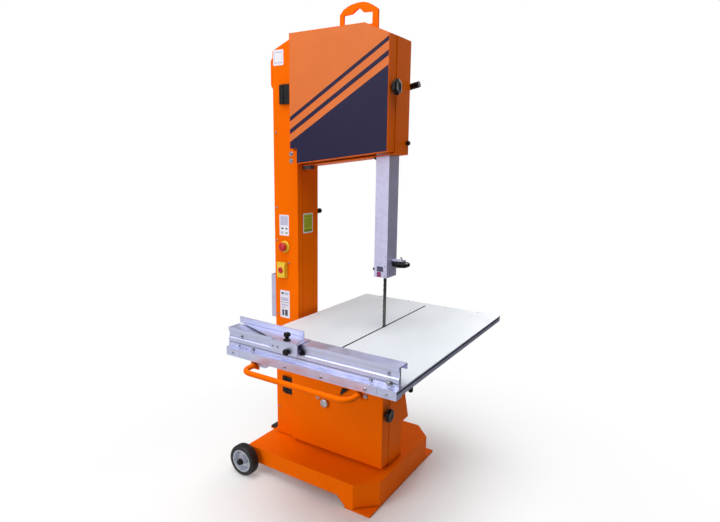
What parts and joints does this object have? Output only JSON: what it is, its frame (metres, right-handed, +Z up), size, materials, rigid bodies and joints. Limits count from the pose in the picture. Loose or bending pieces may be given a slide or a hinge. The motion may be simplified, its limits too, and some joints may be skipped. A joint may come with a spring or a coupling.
{
  "type": "block band saw",
  "caption": "Upright masonry block band saw on a wheeled base: C-shaped body with doors, sliding table with fence, mitre stop and push bar, height-adjustable blade guide.",
  "frame": {"origin": "on the floor, on the underside of the foot plate, straight below the band's cutting run", "axes": "+X to the right of the operator, +Y away from the operator along the table travel, +Z up"},
  "size_m": [0.953, 1.0565, 1.985],
  "materials": {
    "orange_paint": "smooth semi-gloss powder coat",
    "aluminium": "satin extruded",
    "zinc_plate": "bright zinc-plated",
    "black_plastic": "fine moulded texture",
    "bright_steel": "turned bright steel",
    "black_rubber": "dull moulded rubber",
    "yellow_plastic": "moulded",
    "red_plastic": "moulded",
    "green_plastic": "moulded",
    "motor_paint": "grey enamel over castings",
    "blade_steel": "ground spring steel",
    "cast_wheel": "machined casting",
    "table_coating": "light grey anti-slip coating",
    "tyre_rubber": "ribbed solid rubber",
    "rim_steel": "pressed zinc-plated steel"
  },
  "bodies": {
    "machine_frame": {"base_deck": "orange_paint", "foot_plate": "orange_paint", "tilt_step": "black_rubber", "transport_axle": "bright_steel", "lower_casing": "orange_paint", "column_channel": "orange_paint", "upper_casing": "orange_paint", "column_cover": "orange_paint", "lifting_eye": "orange_paint", "transport_handle": "orange_paint", "fixed_hinge_leaves": "black_plastic", "e_stop_collar": "yellow_plastic", "switch_box": "yellow_plastic", "side_bracket": "zinc_plate", "rear_hood": "orange_paint", "belt_guard": "orange_paint", "drive_motor": "motor_paint", "rail_supports": "zinc_plate", "blade_cutting_run": "blade_steel", "blade_return_band": "blade_steel", "lower_blade_guide": "zinc_plate", "cover_screws": "bright_steel", "drive_belt": "black_rubber"},
    "upper_door": {"upper_door": "orange_paint", "upper_hinge_leaf": "black_plastic"},
    "lower_door": {"lower_door": "orange_paint", "lower_hinge_leaf": "black_plastic", "lower_door_cap": "bright_steel"},
    "upper_door_knob": {"upper_door_knob": "black_plastic"},
    "lower_door_knob": {"lower_door_knob": "black_plastic"},
    "tension_carriage": {"tension_carriage": "zinc_plate"},
    "upper_wheel": {"upper_band_wheel": "cast_wheel"},
    "lower_wheel": {"lower_band_wheel": "cast_wheel", "drive_shaft": "bright_steel", "drive_pulley": "cast_wheel"},
    "motor_pulley": {"motor_pulley": "cast_wheel"},
    "tension_lever": {"tension_lever": "black_plastic"},
    "guide_post": {"guide_post": "zinc_plate", "upper_blade_guide": "zinc_plate"},
    "guide_knob": {"guide_knob": "black_plastic"},
    "rear_ball_lever": {"rear_ball_lever": "black_plastic"},
    "table": {"table_top": "table_coating", "table_rear_strip": "table_coating", "table_side_rails": "aluminium", "table_front_bar": "aluminium", "table_runners": "zinc_plate", "fence": "aluminium", "push_handle": "orange_paint"},
    "mitre_carriage": {"mitre_carriage": "aluminium"},
    "mitre_arm": {"mitre_arm": "aluminium"},
    "mitre_knob": {"mitre_knob": "black_plastic"},
    "carriage_knob": {"carriage_knob": "black_plastic"},
    "front_wheel": {"front_tyre": "tyre_rubber", "front_rim": "rim_steel"},
    "rear_wheel": {"rear_tyre": "tyre_rubber", "rear_rim": "rim_steel"},
    "e_stop_button": {"e_stop_button": "red_plastic"},
    "switch_flap": {"switch_flap": "yellow_plastic"},
    "stop_pad": {"stop_pad": "red_plastic"},
    "start_button": {"start_button": "green_plastic"}
  },
  "joints": [
    {"name": "upper_door_hinge", "type": "hinge", "parent": "machine_frame", "child": "upper_door", "pos_m": [-0.453, -0.096, 1.653], "axis": [0, 0, -1], "range_deg": [0, 110]},
    {"name": "lower_door_hinge", "type": "hinge", "parent": "machine_frame", "child": "lower_door", "pos_m": [-0.453, -0.096, 0.369], "axis": [0, 0, -1], "range_deg": [0, 95]},
    {"name": "upper_door_knob_turn", "type": "hinge", "parent": "upper_door", "child": "upper_door_knob", "pos_m": [0.078, -0.083, 1.653], "axis": [1, 0, 0], "range_deg": [0, 360]},
    {"name": "lower_door_knob_turn", "type": "hinge", "parent": "lower_door", "child": "lower_door_knob", "pos_m": [0.084, -0.083, 0.361], "axis": [1, 0, 0], "range_deg": [0, 360]},
    {"name": "tension_lever_swing", "type": "hinge", "parent": "machine_frame", "child": "tension_lever", "pos_m": [-0.12, 0.087, 1.641], "axis": [0, 1, 0], "range_deg": [-90, 0]},
    {"name": "tension_slide", "type": "slide", "parent": "machine_frame", "child": "tension_carriage", "axis": [0, 0, 1], "range_m": [-0.008, 0]},
    {"name": "upper_wheel_spin", "type": "hinge", "parent": "tension_carriage", "child": "upper_wheel", "pos_m": [-0.22, 0, 1.65], "axis": [0, 1, 0], "continuous": true},
    {"name": "lower_wheel_spin", "type": "hinge", "parent": "machine_frame", "child": "lower_wheel", "pos_m": [-0.22, 0, 0.35], "axis": [0, 1, 0], "continuous": true},
    {"name": "motor_pulley_spin", "type": "hinge", "parent": "machine_frame", "child": "motor_pulley", "pos_m": [-0.4, 0.07, 0.225], "axis": [0, 1, 0], "continuous": true},
    {"name": "guide_post_slide", "type": "slide", "parent": "machine_frame", "child": "guide_post", "axis": [0, 0, 1], "range_m": [0, 0.38]},
    {"name": "guide_knob_turn", "type": "hinge", "parent": "guide_post", "child": "guide_knob", "pos_m": [0.072, 0, 0.977], "axis": [0, 0, 1], "range_deg": [0, 360]},
    {"name": "rear_ball_lever_swing", "type": "hinge", "parent": "machine_frame", "child": "rear_ball_lever", "pos_m": [-0.44, 0.0715, 1.12], "axis": [0, 1, 0], "range_deg": [-30, 60]},
    {"name": "table_slide", "type": "slide", "parent": "machine_frame", "child": "table", "axis": [0, 1, 0], "range_m": [-0.38, 0.4]},
    {"name": "mitre_carriage_slide", "type": "slide", "parent": "table", "child": "mitre_carriage", "axis": [1, 0, 0], "range_m": [-0.2, 0.3]},
    {"name": "mitre_arm_swing", "type": "hinge", "parent": "mitre_carriage", "child": "mitre_arm", "pos_m": [-0.072, -0.54, 0.781], "axis": [0, 0, -1], "range_deg": [0, 45]},
    {"name": "mitre_knob_turn", "type": "hinge", "parent": "mitre_carriage", "child": "mitre_knob", "pos_m": [-0.072, -0.54, 0.795], "axis": [0, 0, 1], "range_deg": [0, 360]},
    {"name": "carriage_knob_turn", "type": "hinge", "parent": "mitre_carriage", "child": "carriage_knob", "pos_m": [-0.06, -0.562, 0.749], "axis": [0, 1, 0], "range_deg": [0, 360]},
    {"name": "front_wheel_spin", "type": "hinge", "parent": "machine_frame", "child": "front_wheel", "pos_m": [-0.531, -0.295, 0.07], "axis": [0, 1, 0], "continuous": true},
    {"name": "rear_wheel_spin", "type": "hinge", "parent": "machine_frame", "child": "rear_wheel", "pos_m": [-0.531, 0.385, 0.07], "axis": [0, 1, 0], "continuous": true},
    {"name": "e_stop_press", "type": "slide", "parent": "machine_frame", "child": "e_stop_button", "axis": [0, 1, 0], "range_m": [0, 0.004], "stiffness_N_per_m": 1500},
    {"name": "switch_flap_swing", "type": "hinge", "parent": "machine_frame", "child": "switch_flap", "pos_m": [-0.47, -0.1, 0.936], "axis": [-1, 0, 0], "range_deg": [0, 100]},
    {"name": "stop_pad_press", "type": "slide", "parent": "switch_flap", "child": "stop_pad", "axis": [0, 1, 0], "range_m": [0, 0.003], "stiffness_N_per_m": 800},
    {"name": "start_button_press", "type": "slide", "parent": "machine_frame", "child": "start_button", "axis": [0, 1, 0], "range_m": [0, 0.002], "stiffness_N_per_m": 800}
  ],
  "couplings": [
    {"joint": "tension_slide", "follows": "tension_lever_swing", "m_per_rad": 0.005093},
    {"joint": "upper_wheel_spin", "follows": "lower_wheel_spin", "ratio": 1},
    {"joint": "motor_pulley_spin", "follows": "lower_wheel_spin", "ratio": 2}
  ]
}
